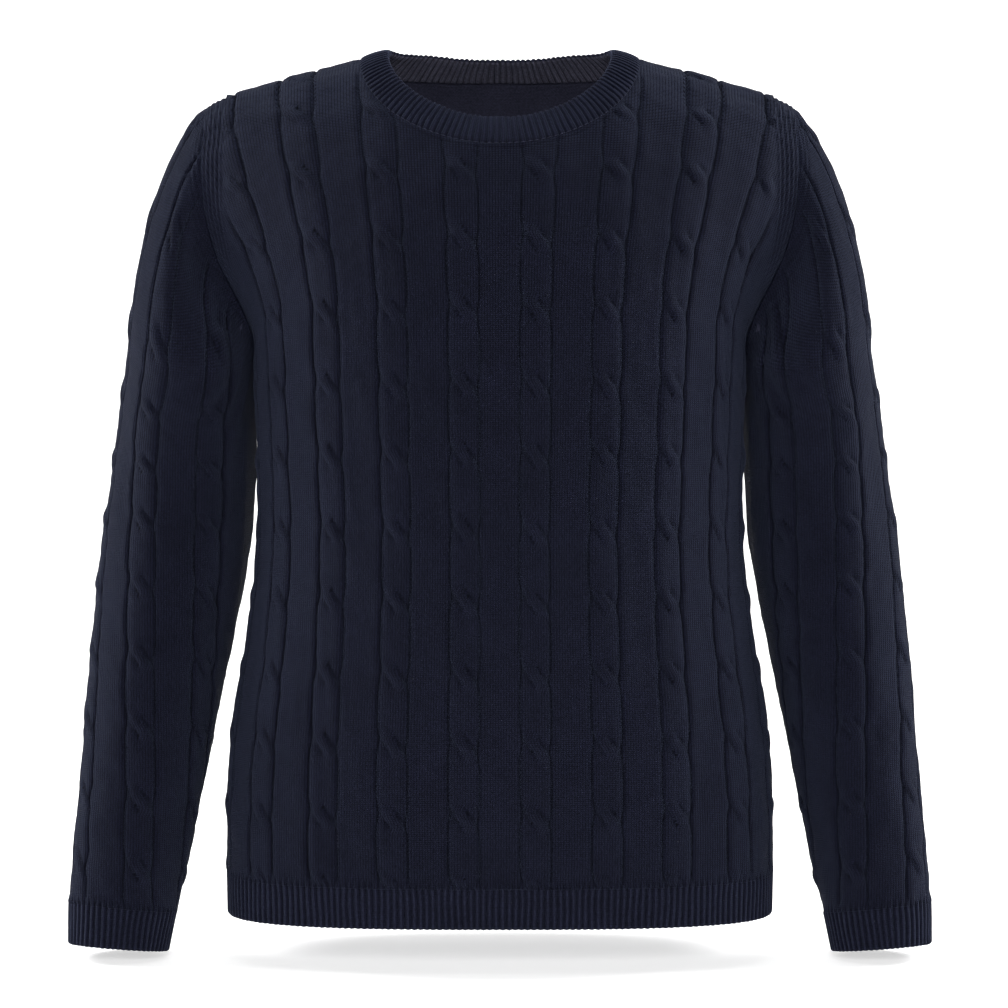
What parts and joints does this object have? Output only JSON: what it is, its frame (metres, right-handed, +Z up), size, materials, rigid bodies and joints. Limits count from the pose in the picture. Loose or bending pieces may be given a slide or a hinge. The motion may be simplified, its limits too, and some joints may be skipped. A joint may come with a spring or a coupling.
{
  "type": "cable knit sweater",
  "caption": "Crew-neck cable knit pullover with long set-in sleeves and ribbed neckband, cuffs and hem, filled out as if worn and hollow inside.",
  "frame": {"origin": "middle of the neck, at the height where the shoulder seams meet the neckband, which is where the wearer's shoulders carry the garment", "axes": "+Z up the wearer's spine, the front faces -Y, +X is the wearer's left"},
  "size_m": [0.6812, 0.2537, 0.722],
  "materials": {
    "knit": "matte navy wool yarn in stocking stitch and cables, with a soft nap",
    "rib": "matte navy wool yarn in one by one rib"
  },
  "bodies": {
    "root": {"front_panel": "knit", "back_panel": "knit", "sleeve_left": "knit", "sleeve_right": "knit", "hem_rib_front": "rib", "hem_rib_back": "rib", "cuff_left": "rib", "cuff_right": "rib", "neckband": "rib"}
  },
  "joints": []
}
